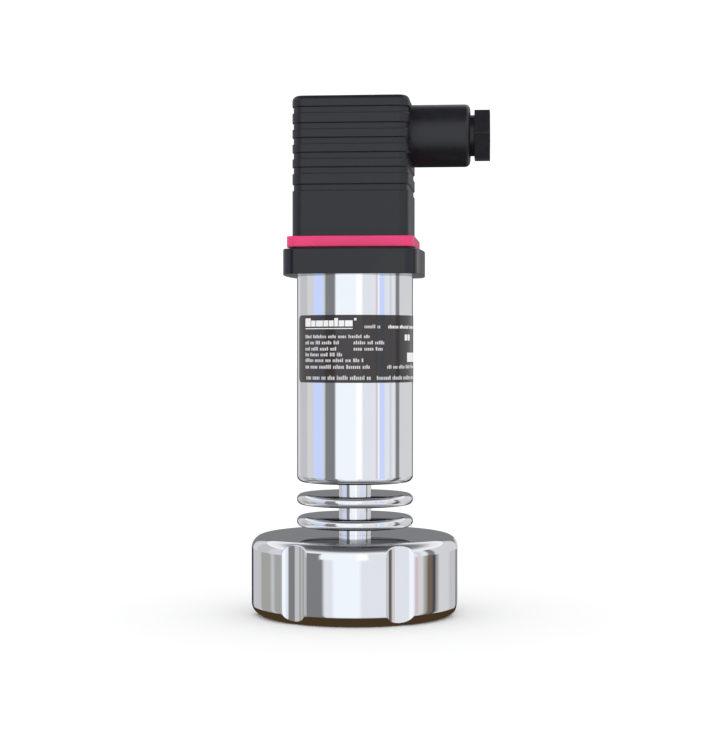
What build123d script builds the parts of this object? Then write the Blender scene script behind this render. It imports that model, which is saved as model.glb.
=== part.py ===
from build123d import *
from math import cos, pi, radians, sin, sqrt
import os

# Hydrostatic level transmitter with a union nut below and a right-angle plug on top.
# Millimetres. The origin is the centre of the union nut's rim, +Z runs up the instrument,
# +X points the way the cable leaves, and the front is towards -Y.

# Union nut
nut_radius = 24.9
nut_height = 19.0
nut_edge_radius = 3.0
nut_plate = 4.0
nut_thread_crest = 18.3
nut_mouth_chamfer = 1.0
scallop_count = 6
scallop_radius = 6.4
scallop_depth = 1.3
scallop_first_angle = 0.0

# Process liner and diaphragm
collar_radius = 17.3
collar_height = 4.2
collar_chamfer = 0.4
cone_top_radius = 15.6
cone_height = 4.5
nose_radius = 13.0
nose_chamfer = 0.6
diaphragm_radius = 11.2
diaphragm_thickness = 0.3
diaphragm_setback = 0.6
diaphragm_rim = 1.6
oil_depth = 0.6
wave_count = 4
wave_pitch = 1.6
wave_height = 0.2
capillary_radius = 1.0
neck_socket_depth = 6.0

# Cooling neck
stem_radius = 3.9
spigot_radius = 3.0
fin_radius = 14.0
fin_thickness = 2.6
fin_heights = [22.35, 27.65]
fin_root_radius = 0.4

# Housing tube
tube_radius = 14.0
tube_wall = 1.4
tube_bottom = 31.8
tube_length = 49.45
tube_floor = 4.8
tube_edge_radius = 1.5
tube_mouth_chamfer = 0.4

# Label round the tube, angles turned from the front towards +X
label_thickness = 0.2
label_bottom = 55.8
label_height = 15.9
label_start_angle = -66.4
label_sweep = 227.0
label_corner_radius = 0.8

# Sensor capsule and its ring
capsule_radius = 9.5
capsule_flange_height = 2.5
capsule_crown_radius = 8.0
capsule_crown_height = 4.0
capsule_chamfer = 0.5
capsule_seal_radius = 6.2
seal_width = 1.8
seal_height = 1.1
ring_corner_share = 0.4
lock_ring_height = 4.0
lock_ring_hole_radius = 1.1
pin_count = 5
pin_circle_radius = 4.5
pin_first_angle = 54.0
pin_radius = 0.3
pin_length = 3.5

# Electronics; heights along the board are in rows of its layout, so they follow its length
layout_rows = 21
holder_height = 7.9
holder_wall = 3.0
holder_slot_depth = 2.0
board_width = 21.0
board_thickness = 1.6
tongue_width = 12.0
tongue_height = 4.8
tongue_engagement = 1.3
wire_radius = 0.3
wire_bend_radius = 0.45
wire_rise = 3.0
lead_radius = 0.6
lead_clearance = 1.6
short_lead_bend_radius = 0.8
short_lead_drop = 3.5
long_lead_bend_radius = 2.0
front_lead_drop = 8.0
rear_lead_drop = 3.0

# Connector base
base_spigot_height = 7.75
base_half_width = 16.8
base_side_bow = 80.0
base_corner_radius = 3.4
base_thickness = 5.95
base_edge_radius = 0.3
step_width = 28.5
step_height = 0.4
step_corner_radius = 2.2
base_seal_width = 1.3
base_seal_height = 2.2
base_seal_drop = 3.8
insert_radius = 2.6
insert_length = 6.0
insert_chamfer = 0.3

# Contact blades and their sockets
contact_circle_radius = 9.0
blade_width = 6.3
blade_thickness = 0.8
blade_reach = 10.9
earth_extra = 1.0
blade_tail = 2.0
blade_tip_chamfer = 0.25
fork_wall = 0.75
fork_width = 6.4
fork_foot = 1.0
terminal_length = 4.8
terminal_width = 6.0
terminal_height = 5.0
terminal_wire_radius = 1.2
terminal_wire_drop = 0.3
terminal_screw_radius = 1.25
terminal_head_radius = 2.2
terminal_head_height = 1.5
terminal_screw_setback = 1.2
terminal_slot_turn = 30.0

# Gasket between base and plug
gasket_width = 29.9
gasket_thickness = 2.5
gasket_web = 1.0
gasket_corner_radius = 2.6
gasket_slot_margin = 0.4

# Plug housing
plug_width = 27.6
plug_height = 33.0
plug_corner_radius = 2.8
plug_edge_radius = 1.3
plug_wall = 1.7
plug_roof = 3.0
cavity_corner_radius = 1.4
groove_tops = [30.4, 26.6, 23.15, 19.7, 16.25, 12.25]
groove_height = 1.6
groove_depth = 0.3
groove_upper_flank = 0.2
boss_radius = 5.0
boss_height = 3.2
screw_tube_radius = 3.2
recess_radius = 3.5
recess_depth = 4.2

# Contact carrier inside the plug
carrier_height = 14.3
carrier_corner_radius = 1.3

# Fixing screw
screw_radius = 1.5
screw_length = 36.0
screw_tip_chamfer = 0.4
head_radius = 2.75
head_height = 2.0
head_edge_radius = 0.3
slot_width = 0.8
slot_depth = 1.0
screw_seal_thickness = 0.6
screw_hole_radius = 1.8

# Cable snout and gland
snout_axis_height = 24.65
snout_radius = 7.45
snout_reach = 27.7
snout_edge_radius = 1.3
gland_bore_radius = 5.0
gland_bore_depth = 13.0
cable_passage_radius = 3.8
gland_seal_length = 6.0
gland_seal_bore = 3.0
gland_washer_thickness = 0.8
gland_washer_bore = 3.4
gland_shank_visible = 1.05
gland_shank_radius = 4.9
gland_nut_bore = 3.3
hex_flats = 11.5
hex_length = 3.65
gland_mouth_chamfer = 0.6

# Clearances
swivel_gap = 0.3
close_fit = 0.05
screw_fit = 0.05
pocket_gap = 0.1
seat_gap = 0.1

# Heights that follow from the sizes above
collar_top = nut_height - nut_plate - swivel_gap
collar_bottom = collar_top - collar_height
cone_bottom = collar_bottom - cone_height
ledge_height = diaphragm_setback + diaphragm_thickness
floor_top = tube_bottom + tube_floor
tube_top = tube_bottom + tube_length
tube_bore = tube_radius - tube_wall
capsule_top = floor_top + capsule_flange_height + capsule_crown_height
lock_ring_bottom = floor_top + capsule_flange_height
lock_ring_top = lock_ring_bottom + lock_ring_height
holder_top = lock_ring_top + holder_height
board_bottom = holder_top - holder_slot_depth
spigot_bottom = tube_top - base_spigot_height
board_top = spigot_bottom + tongue_engagement
board_shoulder = board_top - tongue_height
board_middle = (board_bottom + board_shoulder) / 2
layout_step = (board_shoulder - board_bottom) / layout_rows
base_top = tube_top + base_thickness
step_top = base_top + step_height
web_top = step_top + gasket_web
gasket_top = step_top + gasket_thickness
plug_bottom = gasket_top
plug_top = plug_bottom + plug_height
cavity_width = plug_width - 2 * plug_wall
carrier_width = cavity_width - 2 * pocket_gap
carrier_bottom = web_top + seat_gap
carrier_top = carrier_bottom + carrier_height
blade_tip = step_top + blade_reach
earth_tip = blade_tip + earth_extra
fork_bottom = carrier_bottom + fork_foot
fork_slot_top = earth_tip + 4 * pocket_gap
terminal_bottom = fork_slot_top + fork_wall
terminal_top = terminal_bottom + terminal_height
fork_thickness = blade_thickness + 2 * close_fit + 2 * fork_wall
terminal_screw_circle = contact_circle_radius - terminal_screw_setback
snout_height = plug_bottom + snout_axis_height
seal_start = snout_reach - gland_bore_depth
washer_start = seal_start + gland_seal_length
shank_start = washer_start + gland_washer_thickness
hex_start = snout_reach + gland_shank_visible
hex_end = hex_start + hex_length
recess_floor = plug_top - recess_depth
head_bottom = recess_floor + screw_seal_thickness
screw_tip = head_bottom - screw_length
contact_angles = {"contact_1": 180, "contact_2": 0, "contact_3": 270, "contact_earth": 90}

os.makedirs("parts", exist_ok=True)


def write(builder, name):
    """Label a finished piece and write it to its file."""
    builder.part.label = name
    export_step(builder.part, f"parts/{name}.step")


def bent_wire(points, radius, bend):
    """A round wire along straight runs joined by arcs."""
    with BuildPart() as wire:
        with BuildLine() as route:
            FilletPolyline(*points, radius=bend)
        with BuildSketch(Plane(origin=route.line @ 0, z_dir=route.line % 0)):
            Circle(radius)
        sweep(path=route.line)
    return wire.part


def at_circle(radius, angle):
    """A point on a circle round the instrument's axis."""
    return (radius * cos(radians(angle)), radius * sin(radians(angle)))


# Union nut: round ring with spanner scallops, a plate over the liner and a cavity for the thread
scallop_circle = nut_radius - scallop_depth + scallop_radius
with BuildPart() as union_nut:
    with BuildSketch():
        Circle(nut_radius)
    extrude(amount=nut_height)
    fillet(union_nut.edges().filter_by(GeomType.CIRCLE), nut_edge_radius)
    with BuildSketch():
        with PolarLocations(scallop_circle, scallop_count, start_angle=scallop_first_angle):
            Circle(scallop_radius)
    extrude(amount=nut_height, mode=Mode.SUBTRACT)
    with BuildSketch():
        Circle(nut_thread_crest)
    extrude(amount=nut_height - nut_plate, mode=Mode.SUBTRACT)
    mouth = union_nut.faces().sort_by(Axis.Z)[0].inner_wires().edges()
    chamfer(mouth, nut_mouth_chamfer)
    with Locations((0, 0, nut_height)):
        Hole(stem_radius + swivel_gap)
write(union_nut, "union_nut")

# Process liner: collar, sealing cone and nose, with the ledge that the diaphragm is welded to
with BuildPart() as process_liner:
    with BuildSketch(Plane.XZ):
        with BuildLine():
            Polyline(
                (0, ledge_height + oil_depth),
                (diaphragm_radius - diaphragm_rim, ledge_height + oil_depth),
                (diaphragm_radius - diaphragm_rim, ledge_height),
                (diaphragm_radius + close_fit, ledge_height),
                (diaphragm_radius + close_fit, 0),
                (nose_radius - nose_chamfer, 0),
                (nose_radius, nose_chamfer),
                (nose_radius, cone_bottom),
                (cone_top_radius, collar_bottom),
                (collar_radius - collar_chamfer, collar_bottom),
                (collar_radius, collar_bottom + collar_chamfer),
                (collar_radius, collar_top - collar_chamfer),
                (collar_radius - collar_chamfer, collar_top),
                (spigot_radius + close_fit, collar_top),
                (spigot_radius + close_fit, collar_top - neck_socket_depth),
                (0, collar_top - neck_socket_depth),
                close=True,
            )
        make_face()
    revolve(axis=Axis.Z)
    with Locations((0, 0, collar_top)):
        Hole(capillary_radius)
write(process_liner, "process_liner")

# Diaphragm: thin disc with ring waves, set a little up inside the nose
wave_start = diaphragm_radius - diaphragm_rim - 0.5 * wave_pitch - wave_count * wave_pitch
with BuildPart() as diaphragm:
    with BuildSketch(Plane.XZ):
        with BuildLine():
            for level in (diaphragm_setback, ledge_height):
                Line((0, level), (wave_start, level))
                for index in range(wave_count):
                    inner = wave_start + index * wave_pitch
                    rise = wave_height if index % 2 == 0 else -wave_height
                    ThreePointArc(
                        (inner, level),
                        (inner + wave_pitch / 2, level + rise),
                        (inner + wave_pitch, level),
                    )
                Line((wave_start + wave_count * wave_pitch, level), (diaphragm_radius, level))
            Line((0, diaphragm_setback), (0, ledge_height))
            Line((diaphragm_radius, diaphragm_setback), (diaphragm_radius, ledge_height))
        make_face()
    revolve(axis=Axis.Z)
write(diaphragm, "diaphragm")

# Cooling neck: one turned piece, a stem with two round-edged fins and a fine bore
with BuildPart() as cooling_neck:
    with BuildSketch(Plane.XZ):
        with BuildLine():
            Polyline(
                (0, collar_top - neck_socket_depth),
                (spigot_radius, collar_top - neck_socket_depth),
                (spigot_radius, collar_top),
                (stem_radius, collar_top),
            )
            start = (stem_radius, collar_top)
            for height in fin_heights:
                below = height - fin_thickness / 2
                above = height + fin_thickness / 2
                edge = fin_radius - fin_thickness / 2
                Polyline(start, (stem_radius, below), (edge, below))
                ThreePointArc((edge, below), (fin_radius, height), (edge, above))
                Line((edge, above), (stem_radius, above))
                start = (stem_radius, above)
            Polyline(
                start,
                (stem_radius, tube_bottom),
                (spigot_radius, tube_bottom),
                (spigot_radius, floor_top),
                (0, floor_top),
                (0, collar_top - neck_socket_depth),
            )
        make_face()
    revolve(axis=Axis.Z)
    roots = cooling_neck.edges().filter_by(GeomType.CIRCLE).filter_by(
        lambda edge: abs(edge.radius - stem_radius) < 0.01
        and min(abs(abs(edge.center().Z - h) - fin_thickness / 2) for h in fin_heights) < 0.01
    )
    fillet(roots, fin_root_radius)
    with Locations((0, 0, floor_top)):
        Hole(capillary_radius)
write(cooling_neck, "cooling_neck")

# Housing tube: turned from bar, with a closed floor and a rounded bottom edge
with BuildPart() as housing_tube:
    with BuildSketch(Plane.XY.offset(tube_bottom)):
        Circle(tube_radius)
    extrude(amount=tube_length)
    fillet(housing_tube.faces().sort_by(Axis.Z)[0].edges(), tube_edge_radius)
    with BuildSketch(Plane.XY.offset(floor_top)):
        Circle(tube_bore)
    extrude(amount=tube_length, mode=Mode.SUBTRACT)
    chamfer(housing_tube.faces().sort_by(Axis.Z)[-1].inner_wires().edges(), tube_mouth_chamfer)
    with Locations((0, 0, floor_top)):
        Hole(spigot_radius + close_fit)
write(housing_tube, "housing_tube")

# Label: thin laminate bent round the tube
label_turn = radians(label_start_angle)
label_start = Plane(
    origin=(0, 0, 0),
    x_dir=(sin(label_turn), -cos(label_turn), 0),
    z_dir=(-cos(label_turn), -sin(label_turn), 0),
)
with BuildPart() as label:
    with BuildSketch(label_start):
        with Locations((tube_radius + label_thickness / 2, label_bottom + label_height / 2)):
            Rectangle(label_thickness, label_height)
    revolve(axis=Axis.Z, revolution_arc=label_sweep)
    corners = label.edges().filter_by(GeomType.LINE).filter_by(
        lambda edge: edge.length < 2 * label_thickness
    )
    fillet(corners, label_corner_radius)
write(label, "label")

# Sensor capsule: stainless can with a clamping flange and an O-ring groove below
with BuildPart() as sensor_capsule:
    with BuildSketch(Plane.XY.offset(floor_top)):
        Circle(capsule_radius)
    extrude(amount=capsule_flange_height)
    with BuildSketch(Plane.XY.offset(lock_ring_bottom)):
        Circle(capsule_crown_radius)
    extrude(amount=capsule_crown_height)
    chamfer(sensor_capsule.faces().sort_by(Axis.Z)[-1].edges(), capsule_chamfer)
    with BuildSketch(Plane.XY.offset(floor_top)):
        Circle(capsule_seal_radius + seal_width / 2 + pocket_gap)
        Circle(capsule_seal_radius - seal_width / 2 - pocket_gap, mode=Mode.SUBTRACT)
    extrude(amount=seal_height, mode=Mode.SUBTRACT)
    with BuildSketch(Plane.XY.offset(floor_top)):
        Circle(spigot_radius)
    extrude(amount=seal_height, mode=Mode.SUBTRACT)
write(sensor_capsule, "sensor_capsule")

# Capsule seal: O-ring squeezed between the capsule and the tube's floor
with BuildPart() as capsule_seal:
    with BuildSketch(Plane.XZ):
        with Locations((capsule_seal_radius, floor_top + seal_height / 2)):
            RectangleRounded(seal_width, seal_height, ring_corner_share * seal_height)
    revolve(axis=Axis.Z)
write(capsule_seal, "capsule_seal")

# Capsule pins: the header's five pins
with BuildPart() as capsule_pins:
    with BuildSketch(Plane.XY.offset(capsule_top)):
        with PolarLocations(pin_circle_radius, pin_count, start_angle=pin_first_angle):
            Circle(pin_radius)
    extrude(amount=pin_length)
write(capsule_pins, "capsule_pins")

# Lock ring: screws down on the capsule's flange, with two holes for a pin spanner
with BuildPart() as lock_ring:
    with BuildSketch(Plane.XY.offset(lock_ring_bottom)):
        Circle(tube_bore - close_fit)
        Circle(capsule_crown_radius + swivel_gap, mode=Mode.SUBTRACT)
        with PolarLocations((tube_bore + capsule_crown_radius) / 2, 2, start_angle=90):
            Circle(lock_ring_hole_radius, mode=Mode.SUBTRACT)
    extrude(amount=lock_ring_height)
write(lock_ring, "capsule_lock_ring")

# Board holder: plastic ring that carries the board's lower corners
with BuildPart() as board_holder:
    with BuildSketch(Plane.XY.offset(lock_ring_top)):
        Circle(tube_bore - close_fit)
        Circle(tube_bore - close_fit - holder_wall, mode=Mode.SUBTRACT)
    extrude(amount=holder_height)
    with BuildSketch(Plane.XY.offset(board_bottom)):
        Rectangle(board_width + 2 * pocket_gap, board_thickness + 2 * close_fit)
    extrude(amount=holder_slot_depth, mode=Mode.SUBTRACT)
write(board_holder, "board_holder")

# Main board: upright in the tube, with a tongue that plugs into the base's spigot
with BuildPart() as main_board:
    with BuildSketch(Plane.XZ.offset(-board_thickness / 2)):
        with Locations((0, board_middle)):
            Rectangle(board_width, board_shoulder - board_bottom)
        with Locations((0, (board_shoulder + board_top) / 2)):
            Rectangle(tongue_width, tongue_height)
    extrude(amount=board_thickness)
write(main_board, "main_board")

# Board components: chips and cans soldered to both faces, placed from the board's middle.
# A chip is (across, rows up, width, rows high, depth) and a can is (across, rows up, radius, depth).
front_chips = [(0, -3.0, 6.0, 6.0, 1.4), (-6.6, -1.0, 4.0, 5.0, 1.5), (6.6, 4.0, 4.0, 2.6, 1.8)]
rear_chips = [(-6.0, -2.5, 5.5, 5.5, 2.6), (6.0, 5.0, 4.2, 4.2, 3.0)]
front_cans = [(6.4, -1.5, 1.7, 3.6), (-6.4, 4.5, 1.3, 2.4)]
rear_cans = [(1.0, 1.5, 2.5, 5.0)]
with BuildPart() as board_components:
    for side, chips, cans in ((1, front_chips, front_cans), (-1, rear_chips, rear_cans)):
        for across, rows_up, width, rows_high, depth in chips:
            with BuildSketch(Plane.XZ.offset(side * board_thickness / 2)):
                with Locations((across, board_middle + rows_up * layout_step)):
                    Rectangle(width, rows_high * layout_step)
            extrude(amount=side * depth)
        for across, rows_up, radius, depth in cans:
            with BuildSketch(Plane.XZ.offset(side * board_thickness / 2)):
                with Locations((across, board_middle + rows_up * layout_step)):
                    Circle(radius)
            extrude(amount=side * depth)
write(board_components, "board_components")

# Sensor wires: from each header pin up and across to the nearer face of the board
pin_top = capsule_top + pin_length
landing = board_bottom + wire_rise * layout_step
wires = []
for index in range(pin_count):
    across, depth = at_circle(pin_circle_radius, pin_first_angle + 360 * index / pin_count)
    face = board_thickness / 2 if depth > 0 else -board_thickness / 2
    corner = (across, depth, landing)
    route_points = [(across, depth, pin_top), corner, (across, face, landing)]
    wires.append(bent_wire(route_points, wire_radius, wire_bend_radius))
with BuildPart() as sensor_wires:
    add(wires)
write(sensor_wires, "sensor_wires")

# Connector base: moulded flange with bowed sides, a step under the gasket and a spigot in the tube
bow_centre = base_side_bow - base_half_width
corner_x = (-bow_centre + sqrt(2 * base_side_bow**2 - bow_centre**2)) / 2
with BuildPart() as connector_base:
    with BuildSketch(Plane.XY.offset(tube_top)) as flange_outline:
        with BuildLine():
            for quarter in range(4):
                turn = 90 * quarter
                ends = []
                for x, y in ((-corner_x, -corner_x), (0, -base_half_width), (corner_x, -corner_x)):
                    ends.append(Vector(x, y).rotate(Axis.Z, turn))
                ThreePointArc(*ends)
        make_face()
        fillet(flange_outline.vertices(), base_corner_radius)
    extrude(amount=base_thickness)
    fillet(connector_base.faces().sort_by(Axis.Z)[-1].edges(), base_edge_radius)
    with BuildSketch(Plane.XY.offset(base_top)):
        RectangleRounded(step_width, step_width, step_corner_radius)
    extrude(amount=step_height)
    with BuildSketch(Plane.XY.offset(spigot_bottom)):
        Circle(tube_bore - close_fit)
    extrude(amount=base_spigot_height)
    with BuildSketch(Plane.XY.offset(tube_top - base_seal_drop - base_seal_height / 2)):
        Circle(tube_bore)
        Circle(tube_bore - close_fit - base_seal_width, mode=Mode.SUBTRACT)
    extrude(amount=base_seal_height, mode=Mode.SUBTRACT)
    with BuildSketch(Plane.XY.offset(spigot_bottom)):
        for angle in contact_angles.values():
            with Locations(Location((*at_circle(contact_circle_radius, angle), 0), (0, 0, angle))):
                Rectangle(blade_thickness + 2 * close_fit, blade_width + 2 * close_fit)
    extrude(amount=step_top - spigot_bottom, mode=Mode.SUBTRACT)
    with BuildSketch(Plane.XY.offset(step_top - insert_length)):
        Circle(insert_radius + close_fit)
    extrude(amount=insert_length, mode=Mode.SUBTRACT)
    with BuildSketch(Plane.XY.offset(spigot_bottom)):
        Rectangle(tongue_width + 2 * pocket_gap, board_thickness + 2 * close_fit)
    extrude(amount=board_top - spigot_bottom + seat_gap, mode=Mode.SUBTRACT)
write(connector_base, "connector_base")

# Base seal: O-ring in the spigot's groove
with BuildPart() as base_seal:
    with BuildSketch(Plane.XZ):
        with Locations((tube_bore - close_fit - base_seal_width / 2, tube_top - base_seal_drop)):
            RectangleRounded(base_seal_width, base_seal_height - 2 * close_fit,
                             ring_corner_share * base_seal_width)
    revolve(axis=Axis.Z)
write(base_seal, "base_seal")

# Threaded insert: brass bush that takes the fixing screw
with BuildPart() as threaded_insert:
    with BuildSketch(Plane.XY.offset(step_top - insert_length)):
        Circle(insert_radius)
        Circle(screw_radius + screw_fit, mode=Mode.SUBTRACT)
    extrude(amount=insert_length)
    chamfer(threaded_insert.faces().sort_by(Axis.Z)[-1].inner_wires().edges(), insert_chamfer)
write(threaded_insert, "threaded_insert")


def blade(angle, tip):
    """One flat contact blade, from its tail under the spigot to its chamfered tip."""
    tail = spigot_bottom - blade_tail
    with BuildPart() as piece:
        with BuildSketch(Plane.XY.offset(tail)):
            with Locations(Location((*at_circle(contact_circle_radius, angle), 0), (0, 0, angle))):
                Rectangle(blade_thickness, blade_width)
        extrude(amount=tip - tail)
        chamfer(piece.faces().sort_by(Axis.Z)[-1].edges(), blade_tip_chamfer)
    return piece


blade_names = {"contact_1": "contact_blade_1", "contact_2": "contact_blade_2",
               "contact_3": "contact_blade_3", "contact_earth": "earth_blade"}
for contact, angle in contact_angles.items():
    tip = earth_tip if contact == "contact_earth" else blade_tip
    write(blade(angle, tip), blade_names[contact])

# Output wires: from the blades' tails to the board
tail_end = spigot_bottom - blade_tail
side_offset = board_thickness / 2 + lead_clearance
leads = []
for side in (-1, 1):
    x = side * contact_circle_radius
    low = board_shoulder - short_lead_drop * layout_step
    face = -board_thickness / 2
    leads.append(bent_wire([(x, -side_offset, tail_end), (x, -side_offset, low), (x, face, low)],
                           lead_radius, short_lead_bend_radius))
for side, drop in ((-1, front_lead_drop), (1, rear_lead_drop)):
    y = side * contact_circle_radius
    low = board_shoulder - drop * layout_step
    face = side * board_thickness / 2
    leads.append(bent_wire([(0, y, tail_end), (0, y, low), (0, face, low)],
                           lead_radius, long_lead_bend_radius))
with BuildPart() as output_wires:
    add(leads)
write(output_wires, "output_wires")

# Profile gasket: square silicone frame with a web that the blades pass through
with BuildPart() as profile_gasket:
    with BuildSketch(Plane.XY.offset(step_top)):
        RectangleRounded(gasket_width, gasket_width, gasket_corner_radius)
    extrude(amount=gasket_thickness)
    with BuildSketch(Plane.XY.offset(web_top)):
        RectangleRounded(cavity_width + 2 * pocket_gap, cavity_width + 2 * pocket_gap,
                         cavity_corner_radius)
    extrude(amount=gasket_thickness, mode=Mode.SUBTRACT)
    with BuildSketch(Plane.XY.offset(step_top)):
        Circle(screw_radius + 2 * swivel_gap)
        for angle in contact_angles.values():
            with Locations(Location((*at_circle(contact_circle_radius, angle), 0), (0, 0, angle))):
                Rectangle(blade_thickness + gasket_slot_margin, blade_width + gasket_slot_margin)
    extrude(amount=gasket_thickness, mode=Mode.SUBTRACT)
write(profile_gasket, "profile_gasket")


def groove_core(top):
    """What one grip groove leaves standing: the housing's square drawn in by the groove's depth."""
    low = plug_bottom + top - groove_height
    high = plug_bottom + top
    inset_width = plug_width - 2 * groove_depth
    inset_radius = plug_corner_radius - groove_depth
    levels = [(low, inset_width, inset_radius),
              (high - groove_upper_flank, inset_width, inset_radius),
              (high, plug_width, plug_corner_radius)]
    with BuildPart() as cutter:
        with BuildSketch(Plane.XY.offset(low)):
            Rectangle(2 * plug_width, 2 * plug_width)
        extrude(amount=groove_height)
        for lower, upper in zip(levels, levels[1:]):
            with BuildSketch(Plane.XY.offset(lower[0])):
                RectangleRounded(lower[1], lower[1], lower[2])
            with BuildSketch(Plane.XY.offset(upper[0])):
                RectangleRounded(upper[1], upper[1], upper[2])
            loft(mode=Mode.SUBTRACT)
    return cutter.part


groove_cutters = [groove_core(top) for top in groove_tops]

# Plug housing: hollow moulded box with grip grooves, a screw tube and a side snout for the cable
roof_bottom = plug_top - plug_roof
with BuildPart() as plug_housing:
    with BuildSketch(Plane.XY.offset(plug_bottom)):
        RectangleRounded(plug_width, plug_width, plug_corner_radius)
    extrude(amount=plug_height)
    fillet(plug_housing.faces().sort_by(Axis.Z)[-1].edges(), plug_edge_radius)
    add(groove_cutters, mode=Mode.SUBTRACT)
    with BuildSketch(Plane.YZ.offset(plug_width / 2 - plug_wall)):
        with Locations((0, snout_height)):
            Circle(snout_radius)
    extrude(amount=snout_reach - plug_width / 2 + plug_wall)
    fillet(plug_housing.faces().sort_by(Axis.X)[-1].edges(), snout_edge_radius)
    with BuildSketch(Plane.XY.offset(plug_bottom)):
        RectangleRounded(cavity_width, cavity_width, cavity_corner_radius)
    extrude(amount=plug_height - plug_roof, mode=Mode.SUBTRACT)
    with BuildSketch(Plane.XY.offset(roof_bottom - boss_height)):
        Circle(boss_radius)
    extrude(amount=boss_height)
    with BuildSketch(Plane.XY.offset(carrier_top + seat_gap)):
        Circle(screw_tube_radius)
    extrude(amount=roof_bottom - carrier_top - seat_gap)
    with BuildSketch(Plane.YZ.offset(seal_start)):
        with Locations((0, snout_height)):
            Circle(gland_bore_radius)
    extrude(amount=gland_bore_depth, mode=Mode.SUBTRACT)
    with BuildSketch(Plane.YZ.offset(cavity_width / 2 - plug_wall)):
        with Locations((0, snout_height)):
            Circle(cable_passage_radius)
    extrude(amount=seal_start - cavity_width / 2 + plug_wall, mode=Mode.SUBTRACT)
    with Locations((0, 0, plug_top)):
        CounterBoreHole(screw_hole_radius, recess_radius, recess_depth)
write(plug_housing, "plug_housing")

# Contact carrier: block that snaps into the housing and holds the sockets
fork_pocket = fork_thickness + 2 * pocket_gap
with BuildPart() as contact_carrier:
    with BuildSketch(Plane.XY.offset(carrier_bottom)):
        RectangleRounded(carrier_width, carrier_width, carrier_corner_radius)
        Circle(screw_hole_radius, mode=Mode.SUBTRACT)
        for angle in contact_angles.values():
            with Locations(Location((*at_circle(contact_circle_radius, angle), 0), (0, 0, angle))):
                Rectangle(fork_pocket, fork_width + 2 * pocket_gap, mode=Mode.SUBTRACT)
    extrude(amount=carrier_height)
    with BuildSketch(Plane.XY.offset(terminal_bottom)):
        for angle in contact_angles.values():
            centre = contact_circle_radius + fork_thickness / 2 - terminal_length / 2
            with Locations(Location((*at_circle(centre, angle), 0), (0, 0, angle))):
                Rectangle(terminal_length + 2 * pocket_gap, terminal_width + 2 * pocket_gap)
    extrude(amount=carrier_top - terminal_bottom, mode=Mode.SUBTRACT)
write(contact_carrier, "contact_carrier")


def socket(angle):
    """One socket: a fork that grips a blade, under a clamping terminal with a wire hole."""
    with BuildPart() as piece:
        with BuildSketch(Plane.XY.offset(fork_bottom)):
            with Locations(Location((*at_circle(contact_circle_radius, angle), 0), (0, 0, angle))):
                Rectangle(fork_thickness, fork_width)
        extrude(amount=terminal_bottom - fork_bottom)
        with BuildSketch(Plane.XY.offset(fork_bottom)):
            with Locations(Location((*at_circle(contact_circle_radius, angle), 0), (0, 0, angle))):
                Rectangle(blade_thickness + 2 * close_fit, 2 * fork_width)
        extrude(amount=fork_slot_top - fork_bottom, mode=Mode.SUBTRACT)
        with BuildSketch(Plane.XY.offset(terminal_bottom)):
            centre = contact_circle_radius + fork_thickness / 2 - terminal_length / 2
            with Locations(Location((*at_circle(centre, angle), 0), (0, 0, angle))):
                Rectangle(terminal_length, terminal_width)
        extrude(amount=terminal_height)
        with BuildSketch(Plane.XY.offset(terminal_top)):
            with Locations(Location((*at_circle(terminal_screw_circle, angle), 0))):
                Circle(terminal_screw_radius + screw_fit)
        extrude(amount=-terminal_height / 2, mode=Mode.SUBTRACT)
        wire_plane = Plane(
            origin=(*at_circle(0, angle), terminal_bottom + terminal_height / 2 - terminal_wire_drop),
            z_dir=(cos(radians(angle)), sin(radians(angle)), 0),
        )
        with BuildSketch(wire_plane):
            Circle(terminal_wire_radius)
        extrude(amount=2 * contact_circle_radius, mode=Mode.SUBTRACT)
    return piece


socket_names = {"contact_1": "socket_contact_1", "contact_2": "socket_contact_2",
                "contact_3": "socket_contact_3", "contact_earth": "earth_socket"}
for contact, angle in contact_angles.items():
    write(socket(angle), socket_names[contact])

# Terminal screws: one in each socket's terminal
screw_floor = terminal_bottom + terminal_height / 2 + seat_gap
with BuildPart() as terminal_screws:
    for angle in contact_angles.values():
        spot = at_circle(terminal_screw_circle, angle)
        with BuildSketch(Plane.XY.offset(screw_floor)):
            with Locations(spot):
                Circle(terminal_screw_radius)
        extrude(amount=terminal_top - screw_floor)
        with BuildSketch(Plane.XY.offset(terminal_top)):
            with Locations(spot):
                Circle(terminal_head_radius)
        extrude(amount=terminal_head_height)
        with BuildSketch(Plane.XY.offset(terminal_top + terminal_head_height)):
            with Locations(Location((*spot, 0), (0, 0, angle + terminal_slot_turn))):
                Rectangle(2 * terminal_head_radius, slot_width)
        extrude(amount=-terminal_head_height / 2, mode=Mode.SUBTRACT)
write(terminal_screws, "terminal_screws")

# Fixing screw: long cheese-head screw down the middle of the plug into the base
with BuildPart() as fixing_screw:
    with BuildSketch(Plane.XY.offset(screw_tip)):
        Circle(screw_radius)
    extrude(amount=screw_length)
    chamfer(fixing_screw.faces().sort_by(Axis.Z)[0].edges(), screw_tip_chamfer)
    with BuildSketch(Plane.XY.offset(head_bottom)):
        Circle(head_radius)
    extrude(amount=head_height)
    fillet(fixing_screw.faces().sort_by(Axis.Z)[-1].edges(), head_edge_radius)
    with BuildSketch(Plane.XY.offset(head_bottom + head_height)):
        Rectangle(2 * head_radius, slot_width)
    extrude(amount=-slot_depth, mode=Mode.SUBTRACT)
write(fixing_screw, "fixing_screw")

# Screw seal: rubber ring under the screw's head
with BuildPart() as screw_seal:
    with BuildSketch(Plane.XY.offset(recess_floor)):
        Circle(recess_radius - swivel_gap)
        Circle(screw_radius + screw_fit, mode=Mode.SUBTRACT)
    extrude(amount=screw_seal_thickness)
write(screw_seal, "screw_seal")

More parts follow.
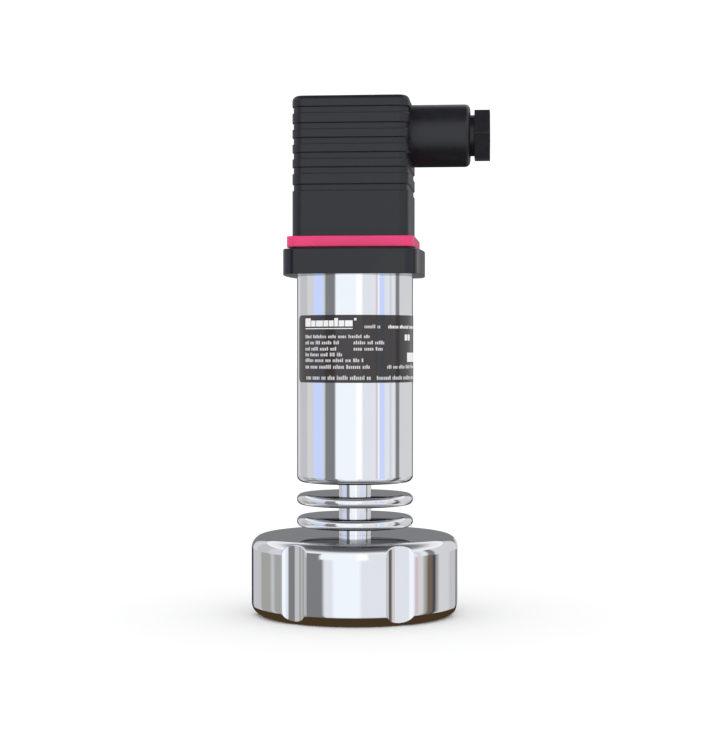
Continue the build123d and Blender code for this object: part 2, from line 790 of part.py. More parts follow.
# Gland seal: rubber bush that the gland nut squeezes round the cable
with BuildPart() as gland_seal:
    with BuildSketch(Plane.YZ.offset(seal_start)):
        with Locations((0, snout_height)):
            Circle(gland_bore_radius - close_fit)
            Circle(gland_seal_bore, mode=Mode.SUBTRACT)
    extrude(amount=gland_seal_length)
write(gland_seal, "gland_seal")

# Gland washer: thrust washer between the seal and the gland nut
with BuildPart() as gland_washer:
    with BuildSketch(Plane.YZ.offset(washer_start)):
        with Locations((0, snout_height)):
            Circle(gland_bore_radius - 2 * close_fit)
            Circle(gland_washer_bore, mode=Mode.SUBTRACT)
    extrude(amount=gland_washer_thickness)
write(gland_washer, "gland_washer")

# Gland nut: hexagon with one corner towards the front, on a threaded shank
hex_corner_radius = hex_flats / 2 / cos(pi / 6)
with BuildPart() as gland_nut:
    with BuildSketch(Plane.YZ.offset(hex_start)):
        with Locations((0, snout_height)):
            RegularPolygon(hex_corner_radius, 6)
    extrude(amount=hex_length)
    with BuildSketch(Plane.YZ.offset(shank_start)):
        with Locations((0, snout_height)):
            Circle(gland_shank_radius)
    extrude(amount=hex_start - shank_start)
    with BuildSketch(Plane.YZ.offset(shank_start)):
        with Locations((0, snout_height)):
            Circle(gland_nut_bore)
    extrude(amount=hex_end - shank_start, mode=Mode.SUBTRACT)
    chamfer(gland_nut.faces().sort_by(Axis.X)[-1].inner_wires().edges(), gland_mouth_chamfer)
write(gland_nut, "cable_gland_nut")
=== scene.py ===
import math
import random

import bmesh
import bpy
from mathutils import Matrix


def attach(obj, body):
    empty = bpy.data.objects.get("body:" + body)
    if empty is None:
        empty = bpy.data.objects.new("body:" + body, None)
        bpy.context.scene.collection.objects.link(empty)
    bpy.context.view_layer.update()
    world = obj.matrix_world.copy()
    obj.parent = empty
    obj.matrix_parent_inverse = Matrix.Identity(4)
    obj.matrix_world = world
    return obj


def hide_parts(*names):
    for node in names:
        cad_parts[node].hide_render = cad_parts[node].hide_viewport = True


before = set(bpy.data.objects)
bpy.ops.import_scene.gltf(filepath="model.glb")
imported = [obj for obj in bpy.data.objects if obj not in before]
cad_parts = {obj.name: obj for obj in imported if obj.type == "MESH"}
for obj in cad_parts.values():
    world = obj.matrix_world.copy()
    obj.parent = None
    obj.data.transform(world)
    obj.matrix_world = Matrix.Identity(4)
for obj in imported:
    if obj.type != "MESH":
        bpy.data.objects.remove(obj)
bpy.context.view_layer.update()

# Camera: level with the lower part of the housing tube, a little to the right of the
# instrument's front, far enough back for a long lens.
MM = 0.001
camera_turn = 5.0
camera_distance = 434.0 * MM
camera_height = 63.6 * MM
focal_pixels = 1800.0
picture_height = 750.0
sensor_long_side = 36.0
horizon_pixel_y = 349.0

camera_data = bpy.data.cameras.new("camera")
camera_data.sensor_fit = "AUTO"
camera_data.sensor_width = sensor_long_side
camera_data.lens = focal_pixels * sensor_long_side / picture_height
camera_data.clip_start = 0.01
camera_data.clip_end = 50.0
camera = bpy.data.objects.new("camera", camera_data)
bpy.context.scene.collection.objects.link(camera)
turn = math.radians(camera_turn)
tilt = math.atan(((picture_height - 1) / 2 - horizon_pixel_y) / focal_pixels)
camera.location = (camera_distance * math.sin(turn), -camera_distance * math.cos(turn), camera_height)
camera.rotation_euler = (math.pi / 2 - tilt, 0.0, turn)
bpy.context.scene.camera = camera
bpy.context.scene.view_settings.view_transform = "Standard"


# Studio: a white sweep with even light from all round. The bare metal mirrors a ring of tall
# cards in plain tones, which stand in two levels. Below them the lower level goes on dimmer,
# and a brown disc close round the nut is the shaded ground. Sizes are in millimetres.
def linear(value):
    """An 8-bit display value as linear light."""
    share = value / 255.0
    return share / 12.92 if share <= 0.04045 else ((share + 0.055) / 1.055) ** 2.4


def tone(red, green, blue):
    """An 8-bit display colour as linear light with full alpha."""
    return (linear(red), linear(green), linear(blue), 1.0)


def around(radius, angle, height):
    """A point on a circle round the upright axis, the angle counted from the right side."""
    return radius * math.cos(angle), radius * math.sin(angle), height


def from_front(degrees):
    """The angle of a direction given in degrees to the right of the front."""
    return math.radians(degrees - 90)


def plain_object(name, points, faces, material):
    """A mesh object from points in millimetres."""
    mesh = bpy.data.meshes.new(name)
    mesh.from_pydata([[part * MM for part in point] for point in points], [], faces)
    mesh.materials.append(material)
    piece = bpy.data.objects.new(name, mesh)
    bpy.context.scene.collection.objects.link(piece)
    return piece


metal_share = 0.92


def mirrored_light(name, colour):
    """A light surface, brighter by what the metal swallows of its colour."""
    material = bpy.data.materials.new(name)
    material.use_nodes = True
    nodes = material.node_tree.nodes
    nodes.clear()
    shine = nodes.new("ShaderNodeEmission")
    shine.inputs["Color"].default_value = colour
    shine.inputs["Strength"].default_value = 1 / metal_share
    output = nodes.new("ShaderNodeOutputMaterial")
    material.node_tree.links.new(shine.outputs[0], output.inputs["Surface"])
    return material


def only_for_reflections(piece):
    """Seen by glossy rays alone, so it neither lights nor shades the rest."""
    piece.visible_camera = False
    piece.visible_diffuse = False
    piece.visible_shadow = False
    piece.visible_transmission = False
    piece.visible_volume_scatter = False


# Each card is (from, to, tone), in degrees to the right of the camera's own direction.
white, snow, mist = (255, 255, 255), (240, 245, 252), (222, 225, 232)
silver, ash, stone = (206, 208, 210), (190, 191, 195), (160, 160, 158)
pale_blue, rose, brown = (196, 212, 250), (208, 182, 186), (108, 97, 84)
grey_flag, dark_flag = (122, 124, 126), (62, 66, 76)
upper_cards = [
    (-180, -155, grey_flag), (-155, -138, silver), (-138, -109, ash), (-109, -89, silver),
    (-89, -66, pale_blue), (-66, -61, silver), (-61, -39, grey_flag), (-39, 2, snow),
    (2, 14, white), (14, 42, mist), (42, 45, rose), (45, 49, snow), (49, 60, pale_blue),
    (60, 72, mist), (72, 77, silver), (77, 87, mist), (87, 98, grey_flag), (98, 155, silver),
    (155, 180, grey_flag)]
lower_cards = [
    (-180, -155, dark_flag), (-155, -127, ash), (-127, -106, stone), (-106, -100, ash),
    (-100, -87, stone), (-87, -64, ash), (-64, -35, grey_flag), (-35, -24, mist), (-24, 6, snow),
    (6, 69, mist), (69, 73, rose), (73, 81, silver), (81, 86, stone), (86, 95, brown),
    (95, 100, dark_flag), (100, 105, stone), (105, 128, silver), (128, 150, ash),
    (150, 180, dark_flag)]
card_blend = 2.0


def card_light(cards, place):
    """The ring's colour at one direction, where neighbouring cards blend into each other."""
    index = next(i for i, (start, end, _) in enumerate(cards) if start <= place < end)
    start, end, own = cards[index]
    reach = min(card_blend, (end - start) / 2)
    share, other = 0.0, own
    if place > end - reach:
        share = 0.5 * (place - (end - reach)) / reach
        other = cards[(index + 1) % len(cards)][2]
    elif place < start + reach:
        share = 0.5 - 0.5 * (place - start) / reach
        other = cards[index - 1][2]
    return [a + (b - a) * share for a, b in zip(tone(*own), tone(*other))]


ring_radius = 3000.0
ring_bottom = -3200.0
ring_dusk = -1600.0
ring_divide = -250.0
ring_top = 1600.0
ring_columns = 360
dusk_share = 0.6
for level, bottom, top, cards, level_share in (
        ("upper", ring_divide, ring_top, upper_cards, 1.0),
        ("lower", ring_dusk, ring_divide, lower_cards, 1.0),
        ("dusk", ring_bottom, ring_dusk, lower_cards, dusk_share)):
    points, tints, faces = [], [], []
    for column in range(ring_columns):
        place = 360 * column / ring_columns - 180
        angle = from_front(camera_turn + place)
        points += [around(ring_radius, angle, bottom), around(ring_radius, angle, top)]
        tints += [part * level_share for part in card_light(cards, place)] * 2
        here, after = 2 * column, 2 * ((column + 1) % ring_columns)
        faces.append((here, after, after + 1, here + 1))
    ring_light = mirrored_light("cards_" + level, (1, 1, 1, 1))
    ring_nodes = ring_light.node_tree.nodes
    tint = ring_nodes.new("ShaderNodeVertexColor")
    tint.layer_name = "tint"
    ring_light.node_tree.links.new(tint.outputs["Color"], ring_nodes["Emission"].inputs["Color"])
    ring = plain_object("cards_" + level, points, faces, ring_light)
    ring.data.color_attributes.new("tint", "FLOAT_COLOR", "POINT")
    ring.data.color_attributes["tint"].data.foreach_set("color", tints)
    only_for_reflections(ring)

shade_reach = 28.4
shade_height = -0.1
shade_sides = 96
shade_points = [around(shade_reach, 2 * math.pi * side / shade_sides, shade_height)
                for side in range(shade_sides)]
shade_light = mirrored_light("ground_shade", tone(68, 52, 35))
ground_shade = plain_object("ground_shade", shade_points, [tuple(range(shade_sides))], shade_light)
only_for_reflections(ground_shade)

floor_half = 6000.0
floor_material = bpy.data.materials.new("studio_floor")
floor_material.use_nodes = True
floor_shader = floor_material.node_tree.nodes["Principled BSDF"]
floor_shader.inputs["Base Color"].default_value = (0.95, 0.95, 0.95, 1)
floor_shader.inputs["Roughness"].default_value = 0.9
floor_shader.inputs["Specular IOR Level"].default_value = 0.0
floor_corners = [(-floor_half, -floor_half, 0), (floor_half, -floor_half, 0),
                 (floor_half, floor_half, 0), (-floor_half, floor_half, 0)]
floor = plain_object("floor", floor_corners, [(0, 1, 2, 3)], floor_material)
floor.visible_glossy = False

# All rays but the glossy ones see one white. Glossy rays see these tones past the ring, from
# straight down at 0 to straight up at 1.
sky_strength = 1.12
sky_stops = [(0.0, (61, 45, 28)), (0.14, (66, 50, 33)), (0.18, (120, 112, 104)),
             (0.73, (252, 252, 254)), (0.82, (232, 233, 236)), (0.88, (150, 152, 158)),
             (0.94, (92, 94, 100)), (1.0, (84, 86, 92))]
world = bpy.data.worlds.new("studio")
world.use_nodes = True
bpy.context.scene.world = world
sky_nodes, sky_links = world.node_tree.nodes, world.node_tree.links
sky_nodes.clear()
even_light = sky_nodes.new("ShaderNodeBackground")
even_light.inputs["Color"].default_value = (1, 1, 1, 1)
even_light.inputs["Strength"].default_value = sky_strength
overhead = sky_nodes.new("ShaderNodeBackground")
direction = sky_nodes.new("ShaderNodeTexCoord")
upward = sky_nodes.new("ShaderNodeSeparateXYZ")
spread = sky_nodes.new("ShaderNodeMapRange")
spread.inputs["From Min"].default_value = -1.0
spread.inputs["From Max"].default_value = 1.0
levels = sky_nodes.new("ShaderNodeValToRGB")
ramp = levels.color_ramp
ramp.interpolation = "LINEAR"
while len(ramp.elements) < len(sky_stops):
    ramp.elements.new(0.5)
for element, (place, colour) in zip(ramp.elements, sky_stops):
    element.position = place
    element.color = tone(*colour)
which_ray = sky_nodes.new("ShaderNodeLightPath")
choose = sky_nodes.new("ShaderNodeMixShader")
sky_output = sky_nodes.new("ShaderNodeOutputWorld")
sky_links.new(direction.outputs["Generated"], upward.inputs[0])
sky_links.new(upward.outputs["Z"], spread.inputs["Value"])
sky_links.new(spread.outputs["Result"], levels.inputs["Fac"])
sky_links.new(levels.outputs["Color"], overhead.inputs["Color"])
sky_links.new(which_ray.outputs["Is Glossy Ray"], choose.inputs["Fac"])
sky_links.new(even_light.outputs[0], choose.inputs[1])
sky_links.new(overhead.outputs[0], choose.inputs[2])
sky_links.new(choose.outputs[0], sky_output.inputs["Surface"])


# Process liner: the collar, cone and nose that the union nut pulls onto the vessel's fitting.
# It is turned from one stainless bar and keeps its fine turning marks.
def bumped(nodes, links, height, depth, normal):
    """A bump, its depth in micrometres, on top of the normal so far."""
    bump = nodes.new("ShaderNodeBump")
    bump.inputs["Strength"].default_value = 1.0
    bump.inputs["Distance"].default_value = depth * MM * MM
    links.new(height, bump.inputs["Height"])
    if normal:
        links.new(normal, bump.inputs["Normal"])
    return bump.outputs["Normal"]


cloud_edges = (0.3, 0.7)
wear_range = (0.7, 1.3)
# The range of the normal's height over which the painted shade on downward faces sets in.
facing_down = (-0.85, -0.55)
wave_span = 0.314


def surface(name, colour, roughness, metallic=0.0, mottle=0.05, spots=90.0,
            grain=None, lines=None, edge=None, underside_shade=1.0):
    """A material with cloudy colour and wear. grain is (per metre, depth in micrometres),
    lines is (pitch, depth in micrometres) of the marks left by turning, edge is the radius
    that softens sharp edges; the last one sets painted shade, the colour's share facing down."""
    material = bpy.data.materials.new(name)
    material.use_nodes = True
    nodes, links = material.node_tree.nodes, material.node_tree.links
    shader = nodes["Principled BSDF"]
    shader.inputs["Metallic"].default_value = metallic
    place = nodes.new("ShaderNodeTexCoord")
    cloud = nodes.new("ShaderNodeTexNoise")
    cloud.inputs["Scale"].default_value = spots
    cloud.inputs["Detail"].default_value = 4.0
    links.new(place.outputs["Object"], cloud.inputs["Vector"])
    shade = nodes.new("ShaderNodeValToRGB")
    for element, position, share in zip(shade.color_ramp.elements, cloud_edges, (1 - mottle, 1 + mottle)):
        element.position = position
        element.color = tuple(part * share for part in colour[:3]) + (1,)
    links.new(cloud.outputs["Fac"], shade.inputs["Fac"])
    look = shade.outputs["Color"]
    # Painted shade: the colour is darkened where the surface faces down.
    if underside_shade < 1.0:
        facing = nodes.new("ShaderNodeNewGeometry")
        parts = nodes.new("ShaderNodeSeparateXYZ")
        links.new(facing.outputs["Normal"], parts.inputs[0])
        underside_darkening = nodes.new("ShaderNodeMapRange")
        underside_darkening.inputs["From Min"].default_value = facing_down[0]
        underside_darkening.inputs["From Max"].default_value = facing_down[1]
        underside_darkening.inputs["To Min"].default_value = underside_shade
        links.new(parts.outputs["Z"], underside_darkening.inputs["Value"])
        dimmed = nodes.new("ShaderNodeVectorMath")
        dimmed.operation = "SCALE"
        links.new(look, dimmed.inputs[0])
        links.new(underside_darkening.outputs["Result"], dimmed.inputs["Scale"])
        look = dimmed.outputs[0]
    links.new(look, shader.inputs["Base Color"])
    wear = nodes.new("ShaderNodeMapRange")
    wear.inputs["To Min"].default_value = roughness * wear_range[0]
    wear.inputs["To Max"].default_value = roughness * wear_range[1]
    links.new(cloud.outputs["Fac"], wear.inputs["Value"])
    links.new(wear.outputs["Result"], shader.inputs["Roughness"])
    normal = None
    if edge:
        soft = nodes.new("ShaderNodeBevel")
        soft.samples = 6
        soft.inputs["Radius"].default_value = edge * MM
        normal = soft.outputs["Normal"]
    if lines:
        marks = nodes.new("ShaderNodeTexWave")
        marks.wave_type = "BANDS"
        marks.bands_direction = "Z"
        marks.inputs["Scale"].default_value = wave_span / (lines[0] * MM)
        marks.inputs["Distortion"].default_value = 1.5
        links.new(place.outputs["Object"], marks.inputs["Vector"])
        normal = bumped(nodes, links, marks.outputs["Fac"], lines[1], normal)
    if grain:
        speck = nodes.new("ShaderNodeTexNoise")
        speck.inputs["Scale"].default_value = grain[0]
        speck.inputs["Detail"].default_value = 2.0
        links.new(place.outputs["Object"], speck.inputs["Vector"])
        normal = bumped(nodes, links, speck.outputs["Fac"], grain[1], normal)
    if normal:
        links.new(normal, shader.inputs["Normal"])
    return material


def dress(material, *node_names):
    """Puts the material on these solids."""
    for name in node_names:
        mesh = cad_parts[name].data
        mesh.materials.clear()
        mesh.materials.append(material)


steel_colour = (0.915, 0.918, 0.927)
liner_steel = surface("liner_steel", steel_colour, 0.14, metallic=1.0, mottle=0.03, lines=(0.18, 1))
dress(liner_steel, "process_liner")

# Diaphragm: the thin disc in the nose that feels the liquid's pressure. It is rolled stainless
# foil with pressed ring waves, fixed at its edge.
foil = surface("diaphragm_foil", (0.80, 0.80, 0.81), 0.2, metallic=1.0, mottle=0.03, grain=(900, 2))
dress(foil, "diaphragm")

# Sensor capsule and lock ring: the pressure cell on the tube's floor, over the stem's bore, and
# the ring that screws down on it. Both are turned from plain stainless steel.
plain_steel = surface("plain_steel", (0.70, 0.70, 0.72), 0.26, metallic=1.0, mottle=0.04, lines=(0.3, 2))
dress(plain_steel, "sensor_capsule", "capsule_lock_ring")

# Capsule pins: five straight pins that carry the cell's signal. They are gold-plated and stand
# on the capsule's top.
gold = surface("gold_plate", (0.85, 0.64, 0.28), 0.22, metallic=1.0, mottle=0.04, spots=800.0)
dress(gold, "capsule_pins")

# Rubber seals: the rings under the capsule, round the connector base and under the fixing
# screw's head. They are black nitrile, moulded, and pressed in as the parts go together.
nitrile = surface("nitrile", (0.018, 0.018, 0.019), 0.6, mottle=0.1, spots=600.0, grain=(3500, 6))
dress(nitrile, "base_seal", "capsule_seal", "screw_seal")


# Cooling neck: a stem with two round-edged fins, turned from one stainless bar and bored for
# the oil. It is drawn anew for the clean corners at the fins' feet. Its downward faces, the
# fins' lower sides most, carry painted shade: a darker colour and a weaker grazing reflection.
def arc(radius, height, bend, start, end, steps):
    """Outline points round a bend, from one angle to another, in degrees above the level."""
    turns = [math.radians(start + (end - start) * step / steps) for step in range(steps + 1)]
    return [(radius + bend * math.cos(angle), height + bend * math.sin(angle)) for angle in turns]


def closed_round(name, columns, material, sharp_degrees):
    """A closed surface round the axis from columns of (angle, outline). An outline is a closed
    row of (radius, height) points that climbs the outer side."""
    points, faces = [], []
    for column, (angle, outline) in enumerate(columns):
        points += [around(radius, angle, height) for radius, height in outline]
        rows = len(outline)
        here, after = column * rows, (column + 1) % len(columns) * rows
        for row in range(rows):
            above = (row + 1) % rows
            faces.append((here + row, after + row, after + above, here + above))
    piece = plain_object(name, points, faces, material)
    piece.data.shade_smooth()
    piece.data.set_sharp_from_angle(angle=math.radians(sharp_degrees))
    return piece


stem_radius = 3.9
spigot_radius = 3.0
neck_bore = 1.0
spigot_foot = 8.7
stem_foot = 14.7
stem_top = 31.8
spigot_top = 36.6
fin_radius = 14.0
fin_half = 1.3
fin_heights = (22.35, 27.65)
fin_edge_steps = 20
neck_columns = 144
neck_sharp = 30
neck_outline = [(neck_bore, spigot_foot), (spigot_radius, spigot_foot), (spigot_radius, stem_foot),
                (stem_radius, stem_foot)]
for middle in fin_heights:
    neck_outline.append((stem_radius, middle - fin_half))
    neck_outline += arc(fin_radius - fin_half, middle, fin_half, -90, 90, fin_edge_steps)
    neck_outline.append((stem_radius, middle + fin_half))
neck_outline += [(stem_radius, stem_top), (spigot_radius, stem_top), (spigot_radius, spigot_top),
                 (neck_bore, spigot_top)]
neck_polish_and_shade = {"roughness": 0.04, "metallic": 1.0, "mottle": 0.02, "lines": (0.12, 0.2), "underside_shade": 0.4}
fin_shade_tint = 0.6
fin_downward = -0.9
neck_steel = surface("neck_steel", steel_colour, **neck_polish_and_shade)
# A painted-shade copy of the neck steel for the faces that look down, with a weaker reflection at grazing
# angles.
shaded_fin_underside = surface("shaded_fin_underside", steel_colour, **neck_polish_and_shade)
fin_shader = shaded_fin_underside.node_tree.nodes["Principled BSDF"]
fin_shader.inputs["Specular Tint"].default_value = (fin_shade_tint, fin_shade_tint, fin_shade_tint, 1.0)
neck_angles = [2 * math.pi * column / neck_columns for column in range(neck_columns)]
neck = closed_round("cooling_neck_polished", [(angle, neck_outline) for angle in neck_angles],
                    neck_steel, neck_sharp)
neck.data.materials.append(shaded_fin_underside)
for face in neck.data.polygons:
    if face.normal.z < fin_downward:
        face.material_index = 1
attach(neck, "sensor_body")
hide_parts("cooling_neck")

# Union nut: forged stainless ring with six milled spanner scallops, polished, and with a
# coarse round thread cut inside its skirt. It turns freely round the stem. It is drawn anew
# here for the thread and for the softened edges of the scallops.
nut_radius = 24.9
nut_height = 19.0
nut_edge = 3.0
nut_hole = 4.0
plate_bottom = 15.0
mouth_chamfer = 1.0
edge_steps = 24
wall_steps = 4
nut_sharp = 32
scallop_circle = 30.0
scallop_radius = 6.4
scallop_count = 6
scallop_blend = 0.16
thread_crest = 18.3
thread_depth = 1.9
thread_pitch = 25.4 / 6
thread_fade = 1.6
thread_runout = 0.6
thread_rows = 40


def soft_least(a, b, width):
    """The smaller of two values, with the corner between them rounded off."""
    share = max(width - abs(a - b), 0.0) / width
    return min(a, b) - share * share * width / 4


def scallop_reach(angle):
    """Distance from the axis to the scallop's wall at an angle, or far outside the nut."""
    step = 2 * math.pi / scallop_count
    off = (angle + step / 2) % step - step / 2
    inside = scallop_radius ** 2 - (scallop_circle * math.sin(off)) ** 2
    return scallop_circle * math.cos(off) - math.sqrt(inside) if inside > 0 else 2 * nut_radius


def thread_radius(angle, height):
    """The round thread's radius, fading out at the mouth and under the plate."""
    wave = 0.5 - 0.5 * math.cos(2 * math.pi * (height / thread_pitch) - angle)
    over_mouth = max(0.0, (height - mouth_chamfer) / thread_fade)
    under_plate = max(0.0, (plate_bottom - thread_runout - height) / thread_fade)
    return thread_crest + thread_depth * wave * min(1.0, over_mouth, under_plate)


thread_heights = [plate_bottom - (plate_bottom - mouth_chamfer) * row / thread_rows
                  for row in range(thread_rows + 1)]
nut_side = arc(nut_radius - nut_edge, nut_edge, nut_edge, -90, 0, edge_steps)
nut_side += [(nut_radius, nut_edge + (nut_height - 2 * nut_edge) * step / wall_steps)
             for step in range(1, wall_steps)]
nut_side += arc(nut_radius - nut_edge, nut_height - nut_edge, nut_edge, 0, 90, edge_steps)


def nut_outline(angle):
    """From the plate's lower side down the thread, round the mouth and up the outside."""
    reach = scallop_reach(angle)
    outline = [(nut_hole, plate_bottom)]
    outline += [(thread_radius(angle, height), height) for height in thread_heights]
    outline.append((thread_crest + mouth_chamfer, 0.0))
    outline += [(soft_least(radius, reach, scallop_blend), height) for radius, height in nut_side]
    outline.append((nut_hole, nut_height))
    return outline


# The columns stand close together over each scallop and a little past its edges.
scallop_pitch = 360 / scallop_count
fine_half = 8.8
fine_step = 0.2
plain_steps = 27
fine_steps = round(2 * fine_half / fine_step)
nut_degrees = []
for number in range(scallop_count):
    middle = scallop_pitch * number
    nut_degrees += [middle - fine_half + fine_step * step for step in range(fine_steps + 1)]
    nut_degrees += [middle + fine_half + (scallop_pitch - 2 * fine_half) * step / plain_steps
                    for step in range(1, plain_steps)]
nut_angles = [math.radians(degrees) for degrees in nut_degrees]
nut_steel = surface("nut_steel", steel_colour, 0.025, metallic=1.0, mottle=0.015, grain=(80, 1.5))
nut = closed_round("union_nut_polished", [(angle, nut_outline(angle)) for angle in nut_angles],
                   nut_steel, nut_sharp)
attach(nut, "union_nut")
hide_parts("union_nut")

# Housing tube: the cylinder with a closed floor that stands on the neck and covers sensor and
# electronics. It is stainless steel, turned from bar and polished to a mirror.
tube_radius = 14.0
# Its downward-facing faces, round the floor's rim, carry painted shade: a darker colour.
tube_steel = surface("tube_steel", steel_colour, 0.04, metallic=1.0, mottle=0.015,
                     grain=(60, 12), underside_shade=0.4)
dress(tube_steel, "housing_tube")

# Label: dark laminate with a glossy film, wrapped round the tube and drawn anew as thin as
# it is, with round corners. Its print is only plain bars in light ink, each a thin closed
# slab on the film. Places are in degrees from the front and millimetres above the rim.
label_root = 0.01
label_thickness = 0.06
label_start = -66.4
label_sweep = 227.0
label_bottom = 55.8
label_top = 71.7
label_corner = 1.4
label_step = 2.5
label_sharp = 30
corner_steps = 8
ink_root = 0.02
ink_height = 0.02
ink_step = 3.0


def curved_slab(points, faces, columns, inner, outer):
    """Adds a closed slab round the axis; each column is (degrees, low, high)."""
    first = len(points)
    for degrees, low, high in columns:
        points += [around(radius, from_front(degrees), height)
                   for radius in (inner, outer) for height in (low, high)]
    ring = (0, 2, 3, 1)
    for index in range(len(columns) - 1):
        near, far = first + 4 * index, first + 4 * index + 4
        for a, b in zip(ring, ring[1:] + ring[:1]):
            faces.append((near + a, near + b, far + b, far + a))
    last = first + 4 * (len(columns) - 1)
    faces.append(tuple(first + i for i in reversed(ring)))
    faces.append(tuple(last + i for i in ring))


def laid_on_tube(name, points, faces, material):
    """A closed mesh that stays on the tube as part of the label."""
    piece = plain_object(name, points, faces, material)
    sides = bmesh.new()
    sides.from_mesh(piece.data)
    bmesh.ops.recalc_face_normals(sides, faces=sides.faces)
    sides.to_mesh(piece.data)
    sides.free()
    piece.data.shade_smooth()
    piece.data.set_sharp_from_angle(angle=math.radians(label_sharp))
    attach(piece, "sensor_body")
    return piece


corner_sweep = math.degrees(label_corner / tube_radius)
label_columns = []
for step in range(corner_steps + 1):
    angle = math.pi / 2 * step / corner_steps
    cut = label_corner * (1 - math.sin(angle))
    degrees = label_start + corner_sweep * (1 - math.cos(angle))
    label_columns.append((degrees, label_bottom + cut, label_top - cut))
middle_steps = round((label_sweep - 2 * corner_sweep) / label_step)
for step in range(1, middle_steps):
    degrees = label_start + corner_sweep + (label_sweep - 2 * corner_sweep) * step / middle_steps
    label_columns.append((degrees, label_bottom, label_top))
label_columns += [(2 * label_start + label_sweep - degrees, low, high)
                  for degrees, low, high in label_columns[corner_steps::-1]]
label_film = surface("label_film", (0.034, 0.029, 0.030), 0.11, mottle=0.06, spots=300.0, grain=(120, 6))
label_points, label_faces = [], []
curved_slab(label_points, label_faces, label_columns,
            tube_radius - label_root, tube_radius + label_thickness)
label = laid_on_tube("label_laminate", label_points, label_faces, label_film)
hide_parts("label")

group_bars = (3, 8)
bar_widths = (0.95, 1.6)
bar_gap = 0.65
group_gap = 2.4
line_margin = 0.8
tall_chance = 0.3
short_share = 0.74


def print_line(start, end, low, high, chance):
    """A printed line: narrow bars of uneven height, with wider gaps between groups."""
    bars = []
    place, left = start, chance.randint(*group_bars)
    while place < end - line_margin:
        width = chance.uniform(*bar_widths)
        top = high if chance.random() < tall_chance else low + short_share * (high - low)
        bars.append((place, place + width, low, top))
        left -= 1
        place += width + (bar_gap if left else group_gap)
        left = left or chance.randint(*group_bars)
    return bars


def printed(name, bars, ink):
    """The bars as one mesh on the label's film."""
    points, faces = [], []
    film = tube_radius + label_thickness
    for start, end, low, high in bars:
        steps = max(1, math.ceil((end - start) / ink_step))
        columns = [(start + (end - start) * step / steps, low, high) for step in range(steps + 1)]
        curved_slab(points, faces, columns, film - ink_root, film + ink_height)
    return laid_on_tube(name, points, faces, ink)


light_ink = surface("light_ink", tone(236, 236, 237), 0.35, mottle=0.03, spots=600.0)
dim_ink = surface("dim_ink", tone(205, 203, 204), 0.35, mottle=0.04, spots=600.0)
chance = random.Random(17)
heading = [(-51.3, -43.0, 69.0, 70.95), (-42.3, -36.4, 69.0, 70.4), (-35.6, -27.4, 69.0, 70.4),
           (-26.7, -21.4, 69.0, 70.4), (-20.7, -15.8, 69.0, 70.4), (-15.1, -11.4, 69.0, 70.95),
           (-10.7, -5.2, 69.0, 70.4), (-4.5, 2.7, 69.0, 70.4), (-51.3, 2.7, 68.4, 68.62),
           (4.2, 6.4, 70.4, 70.95)]
heading += print_line(38.7, 118.0, 68.55, 69.4, chance)
heading += [(61.8, 66.6, 65.75, 67.15), (67.8, 72.6, 65.75, 67.15), (66.5, 112.0, 60.65, 62.85)]
printed("label_headings", heading, light_ink)
text_rows = [(14.1, 31.0, 68.55, 69.4),
             (-51.3, 19.8, 66.25, 67.05), (-51.3, -9.7, 64.8, 65.65), (3.7, 34.2, 64.8, 65.65),
             (-51.3, -11.6, 63.35, 64.2), (3.7, 32.0, 63.35, 64.2), (-51.3, -4.9, 62.0, 62.85),
             (-51.3, 13.6, 60.65, 61.5), (-51.3, 19.8, 59.1, 60.0), (37.5, 108.0, 59.1, 59.95),
             (-49.6, 20.8, 56.5, 57.5), (26.3, 112.0, 56.5, 57.45)]
text_bars = []
for row in text_rows:
    text_bars += print_line(*row, chance)
printed("label_text", text_bars, dim_ink)

# Main board: the upright board that turns the cell's signal into the output. It is glass-fibre
# laminate under green solder resist, held below by the board holder and above by the base.
resist = surface("solder_resist", (0.014, 0.11, 0.045), 0.3, mottle=0.25, spots=900.0,
                 grain=(1500, 10), edge=0.1)
dress(resist, "main_board")

# Board components: the chips and cans on the board, moulded or dipped in matt black epoxy and
# soldered down in rows.
chip_epoxy = surface("chip_epoxy", (0.022, 0.022, 0.024), 0.5, mottle=0.2, spots=800.0,
                     grain=(6000, 4), edge=0.2)
dress(chip_epoxy, "board_components")

# Wires: thin stranded wires in smooth plastic sleeves, soldered to the board. The white ones
# come from the sensor and the red ones go on to the contact blades.
sleeve_white = surface("wire_sleeve_white", (0.62, 0.60, 0.56), 0.35, mottle=0.05, grain=(2500, 4))
dress(sleeve_white, "sensor_wires")
sleeve_red = surface("wire_sleeve_red", (0.42, 0.03, 0.025), 0.35, mottle=0.08, grain=(2500, 4))
dress(sleeve_red, "output_wires")

# Connector base: the square flange that closes the tube and carries the blades. It is smooth
# black polyamide with a slight sheen, moulded, with its spigot pushed into the tube.
base_plastic = surface("base_plastic", (0.0065, 0.0075, 0.010), 0.16, mottle=0.12, spots=400.0,
                       grain=(7000, 3.5), edge=0.3)
dress(base_plastic, "connector_base")

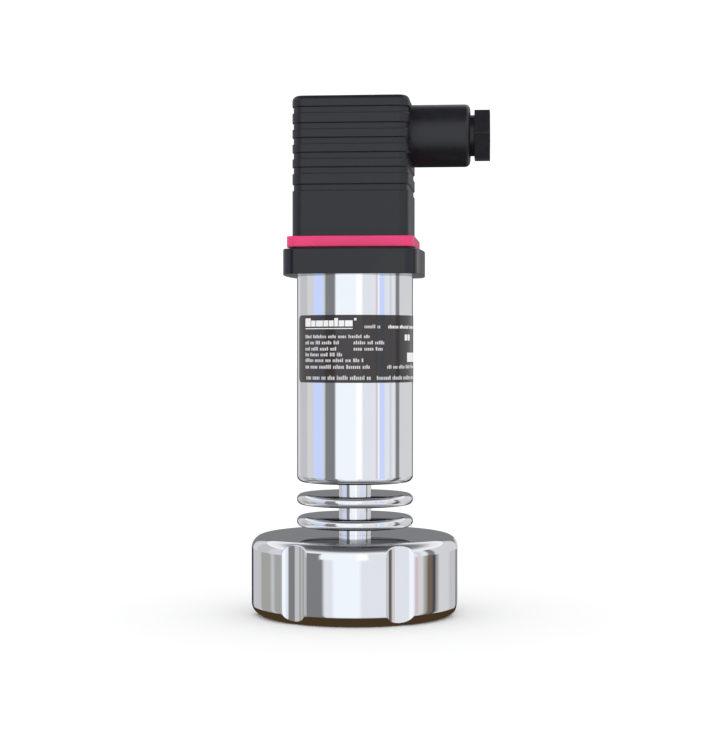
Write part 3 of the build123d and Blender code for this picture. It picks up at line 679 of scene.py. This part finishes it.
# Threaded insert: the small bush in the base's middle that takes the fixing screw. It is
# turned brass, pressed into the plastic.
brass = surface("insert_brass", (0.72, 0.52, 0.24), 0.25, metallic=1.0, mottle=0.05, lines=(0.3, 3))
dress(brass, "threaded_insert")

# Blades and sockets: the flat contacts on the base and the forked ones in the plug that slide
# over them. All are stamped from brass strip and plated with soft grey tin.
tin = surface("tin_plate", (0.74, 0.73, 0.70), 0.3, metallic=1.0, mottle=0.06, spots=600.0,
              grain=(2000, 3), edge=0.15)
dress(tin, "contact_blade_1", "contact_blade_2", "contact_blade_3", "earth_blade",
      "socket_contact_1", "socket_contact_2", "socket_contact_3", "earth_socket")

# Profile gasket: the square seal squeezed between base and plug. It is pink-red silicone,
# pressed in a mould, matt with a faint bloom.
gasket_silicone = surface("gasket_silicone", tone(228, 46, 112), 0.32, mottle=0.04, spots=250.0,
                          grain=(3000, 8), edge=0.4)
dress(gasket_silicone, "profile_gasket")

# Contact carrier and board holder: the block in the plug that holds the sockets, and the ring in
# the tube that carries the board's lower corners. Both are moulded in a greyer, duller plastic.
carrier_plastic = surface("carrier_plastic", (0.07, 0.07, 0.075), 0.5, mottle=0.08, spots=300.0,
                          grain=(4000, 5), edge=0.2)
dress(carrier_plastic, "contact_carrier", "board_holder")

# Plug housing and gland nut: the right-angle cover with its grip grooves, and the hexagon nut
# that clamps the cord. Both are moulded in glass-filled black polyamide with a fine grain.
plug_plastic = surface("plug_plastic", (0.0105, 0.0105, 0.0140), 0.34, mottle=0.15, spots=500.0,
                       grain=(5000, 5), edge=0.3)
dress(plug_plastic, "plug_housing", "cable_gland_nut")

# Gland seal: the bush that the gland nut squeezes onto the cord. It is moulded in grey rubber
# and lies loose in the snout.
bush_rubber = surface("bush_rubber", (0.05, 0.05, 0.052), 0.62, mottle=0.1, spots=600.0,
                      grain=(3000, 8))
dress(bush_rubber, "gland_seal")

# Screws and washer: the long screw that holds the plug down, the four wire clamps and the
# gland's washer. All are steel with bluish, slightly cloudy zinc plating.
zinc = surface("zinc_plate", (0.66, 0.68, 0.71), 0.28, metallic=1.0, mottle=0.08, spots=700.0,
               grain=(2500, 3), edge=0.15)
dress(zinc, "fixing_screw", "terminal_screws", "gland_washer")
